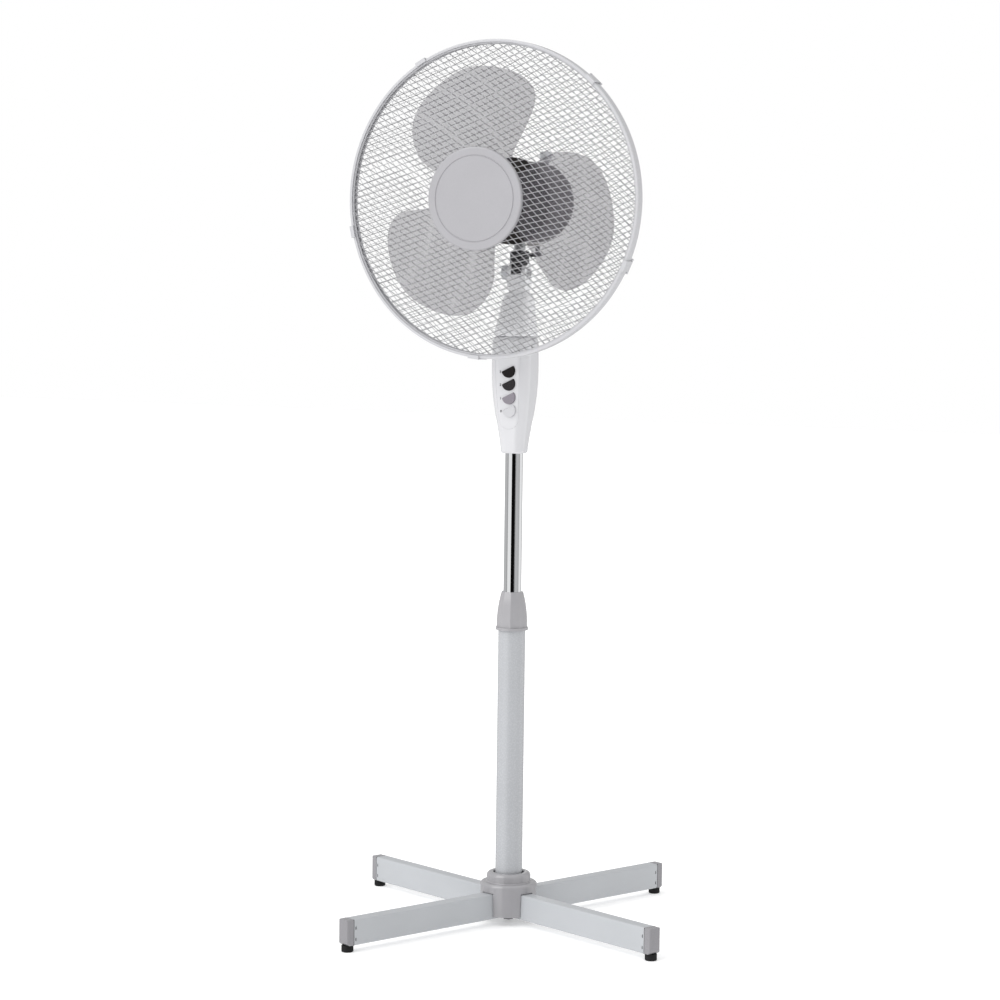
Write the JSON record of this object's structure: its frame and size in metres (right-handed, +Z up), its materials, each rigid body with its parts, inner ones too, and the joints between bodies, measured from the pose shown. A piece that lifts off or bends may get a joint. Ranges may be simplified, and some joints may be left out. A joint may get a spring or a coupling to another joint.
{
  "type": "pedestal fan",
  "caption": "Floor-standing pedestal fan on a crossed-leg base, with a telescopic pole, push-button control box, tilting and swinging head and a round wire guard.",
  "frame": {"origin": "on the floor, under the axis of the pole", "axes": "+Z up along the pole, -Y the way the head and the control box face"},
  "size_m": [0.5506, 0.5506, 1.234],
  "materials": {
    "leg_paint": "satin",
    "grey_plastic": "satin",
    "black_rubber": "matte",
    "screw_steel": "satin",
    "tube_paint": "satin",
    "white_nylon": "satin",
    "chrome_tube": "polished",
    "box_white": "gloss",
    "black_plastic": "satin",
    "button_white": "gloss",
    "button_mauve": "gloss",
    "button_grey": "gloss",
    "button_dark": "gloss",
    "neck_plastic": "satin",
    "dark_steel": "satin",
    "motor_black": "satin",
    "cast_aluminium": "cast",
    "bronze": "machined",
    "core_steel": "laminated",
    "copper": "enamelled",
    "shaft_steel": "ground",
    "hoop_plastic": "gloss",
    "guard_wire": "gloss",
    "guard_net": "gloss",
    "badge_grey": "satin",
    "smoke_plastic": "clear"
  },
  "bodies": {
    "base": {"leg_bar_lower": "leg_paint", "leg_bar_upper": "leg_paint", "leg_cap_1": "grey_plastic", "leg_cap_2": "grey_plastic", "leg_cap_3": "grey_plastic", "leg_cap_4": "grey_plastic", "rubber_feet": "black_rubber", "base_hub": "grey_plastic", "base_bolt": "screw_steel", "lower_tube": "tube_paint", "collet_bush": "white_nylon"},
    "collar": {"height_collar": "grey_plastic"},
    "slider": {"slide_bush": "white_nylon"},
    "mast": {"upper_tube": "chrome_tube", "control_front": "box_white", "control_rear": "box_white", "button_panel": "box_white", "switch_block": "black_plastic", "cord_grommet": "black_rubber", "housing_screw": "screw_steel", "neck_post": "box_white", "tilt_bolt": "dark_steel"},
    "tilt_knob": {"tilt_knob": "neck_plastic"},
    "tilt_head": {"tilt_knuckle": "black_plastic"},
    "head": {"motor_front_cover": "motor_black", "motor_rear_cover": "motor_black", "front_bracket": "cast_aluminium", "rear_bracket": "cast_aluminium", "shaft_bearings": "bronze", "stator_core": "core_steel", "stator_winding": "copper", "gearbox_case": "cast_aluminium", "swing_shaft": "shaft_steel", "guard_nut": "grey_plastic", "rear_guard_plate": "hoop_plastic", "rear_guard_rim": "guard_wire", "rear_guard_net": "guard_net", "front_guard_rim": "guard_wire", "front_guard_net": "guard_net", "guard_hoop": "hoop_plastic", "badge_disc": "badge_grey"},
    "swing_knob": {"swing_knob": "black_plastic"},
    "rotor": {"rotor_core": "core_steel", "motor_shaft": "shaft_steel", "worm": "bronze", "fan_blade": "smoke_plastic", "blade_nut": "black_plastic"},
    "worm_wheel": {"worm_wheel": "white_nylon"},
    "crank": {"crank_gear": "white_nylon"},
    "link": {"crank_link": "shaft_steel"},
    "button_0": {"button_0": "button_white"},
    "button_1": {"button_1": "button_mauve"},
    "button_2": {"button_2": "button_grey"},
    "button_3": {"button_3": "button_dark"},
    "clip_1": {"guard_clip_1": "hoop_plastic"},
    "clip_2": {"guard_clip_2": "hoop_plastic"},
    "clip_3": {"guard_clip_3": "hoop_plastic"},
    "clip_4": {"guard_clip_4": "hoop_plastic"},
    "latch": {"guard_latch": "hoop_plastic"}
  },
  "joints": [
    {"name": "collar_turn", "type": "hinge", "parent": "base", "child": "collar", "pos_m": [0, 0, 0.44], "axis": [0, 0, 1], "range_deg": [-90, 0]},
    {"name": "height_slide", "type": "slide", "parent": "base", "child": "slider", "axis": [0, 0, 1], "range_m": [-0.185, 0.02]},
    {"name": "mast_turn", "type": "hinge", "parent": "slider", "child": "mast", "pos_m": [0, 0, 0.5], "axis": [0, 0, 1], "range_deg": [-170, 170]},
    {"name": "button_0_press", "type": "slide", "parent": "mast", "child": "button_0", "axis": [0, 1, 0], "range_m": [0, 0.003], "stiffness_N_per_m": 300, "springref_m": -0.001},
    {"name": "button_1_press", "type": "slide", "parent": "mast", "child": "button_1", "axis": [0, 1, 0], "range_m": [0, 0.003], "stiffness_N_per_m": 300, "springref_m": -0.001},
    {"name": "button_2_press", "type": "slide", "parent": "mast", "child": "button_2", "axis": [0, 1, 0], "range_m": [0, 0.003], "stiffness_N_per_m": 300, "springref_m": -0.001},
    {"name": "button_3_press", "type": "slide", "parent": "mast", "child": "button_3", "axis": [0, 1, 0], "range_m": [0, 0.003], "stiffness_N_per_m": 300, "springref_m": -0.001},
    {"name": "tilt", "type": "hinge", "parent": "mast", "child": "tilt_head", "pos_m": [0, 0.01, 0.918], "axis": [1, 0, 0], "range_deg": [-20, 12]},
    {"name": "tilt_knob_turn", "type": "hinge", "parent": "mast", "child": "tilt_knob", "pos_m": [-0.019, 0.01, 0.918], "axis": [1, 0, 0], "range_deg": [0, 180]},
    {"name": "swing", "type": "hinge", "parent": "tilt_head", "child": "head", "pos_m": [0, 0.01, 0.95], "axis": [0, 0, 1], "range_deg": [-40, 40]},
    {"name": "swing_knob_pull", "type": "slide", "parent": "head", "child": "swing_knob", "axis": [0, 0, 1], "range_m": [0, 0.008]},
    {"name": "rotor_spin", "type": "hinge", "parent": "head", "child": "rotor", "pos_m": [0, -0.08, 1.017], "axis": [0, 1, 0], "continuous": true},
    {"name": "worm_wheel_turn", "type": "hinge", "parent": "head", "child": "worm_wheel", "pos_m": [0.017, 0.058, 1.017], "axis": [0, 0, 1], "continuous": true},
    {"name": "crank_turn", "type": "hinge", "parent": "head", "child": "crank", "pos_m": [-0.00738, 0.058, 0.98], "axis": [0, 0, 1], "continuous": true},
    {"name": "link_turn", "type": "hinge", "parent": "crank", "child": "link", "pos_m": [-0.01497, 0.0515, 0.957], "axis": [0, 0, 1], "continuous": true},
    {"name": "clip_1_open", "type": "hinge", "parent": "head", "child": "clip_1", "pos_m": [-0.1085, -0.07025, 1.20493], "axis": [-0.866, 0, -0.5], "range_deg": [0, 100]},
    {"name": "clip_2_open", "type": "hinge", "parent": "head", "child": "clip_2", "pos_m": [0.1452, -0.07025, 1.17826], "axis": [-0.7431, 0, 0.6691], "range_deg": [0, 100]},
    {"name": "clip_3_open", "type": "hinge", "parent": "head", "child": "clip_3", "pos_m": [0.19824, -0.07025, 0.92874], "axis": [0.4067, 0, 0.9135], "range_deg": [0, 100]},
    {"name": "clip_4_open", "type": "hinge", "parent": "head", "child": "clip_4", "pos_m": [-0.21226, -0.07025, 0.97188], "axis": [0.2079, 0, -0.9781], "range_deg": [0, 100]},
    {"name": "latch_open", "type": "hinge", "parent": "head", "child": "latch", "pos_m": [-0.02268, -0.07025, 0.80119], "axis": [0.9945, 0, -0.1045], "range_deg": [0, 100]}
  ],
  "couplings": [
    {"joint": "worm_wheel_turn", "follows": "rotor_spin", "ratio": 0.025},
    {"joint": "crank_turn", "follows": "rotor_spin", "ratio": -0.0045455},
    {"joint": "link_turn", "follows": "rotor_spin", "ratio": 0.0045455}
  ]
}
